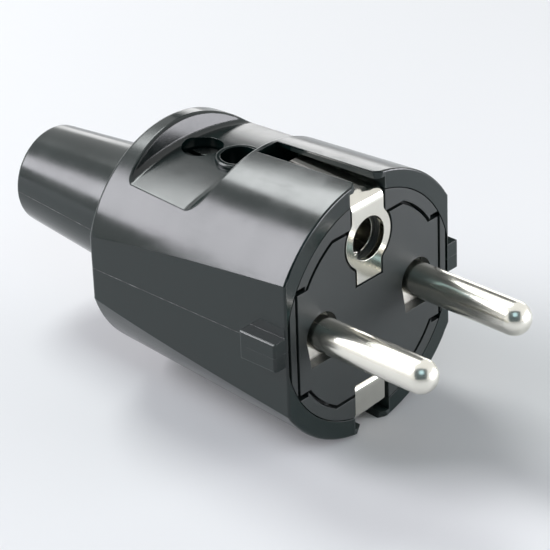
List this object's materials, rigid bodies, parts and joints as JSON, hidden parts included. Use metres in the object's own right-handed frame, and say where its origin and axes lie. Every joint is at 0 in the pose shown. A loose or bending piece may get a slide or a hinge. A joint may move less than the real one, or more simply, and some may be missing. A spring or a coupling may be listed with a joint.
{
  "type": "earthed mains plug",
  "caption": "Rewireable earthed mains plug with round pins, earth clips in slots above and below, an earth socket hole, a finger recess and a tapered cord sleeve.",
  "frame": {"origin": "centre of the engagement face, midway between the two pins", "axes": "+X the way the pins point, +Z towards the earth hole, +Y completes the right-handed set"},
  "size_m": [0.0803, 0.037, 0.0378],
  "materials": {
    "housing_plastic": "glossy black thermoset-like moulding with a faint mould flash",
    "insert_plastic": "satin black",
    "nickelled_brass": "bright nickel plating over brass",
    "nickelled_sheet": "satin nickel plating over sheet brass",
    "plated_steel": "zinc-plated steel"
  },
  "bodies": {
    "root": {"housing": "housing_plastic", "contact_carrier": "insert_plastic", "face_plate": "insert_plastic", "pin_left": "nickelled_brass", "pin_right": "nickelled_brass", "terminal_left": "nickelled_brass", "terminal_right": "nickelled_brass", "terminal_screw_left": "plated_steel", "terminal_screw_right": "plated_steel", "earth_plate": "nickelled_sheet", "earth_socket": "nickelled_brass", "earth_bracket": "nickelled_sheet", "socket_nut": "plated_steel", "earth_washer": "nickelled_sheet", "earth_screw": "plated_steel", "housing_screw": "plated_steel", "housing_nut": "plated_steel", "clamp_screw": "plated_steel", "clamp_nut": "plated_steel", "cord_clamp": "insert_plastic"}
  },
  "joints": []
}
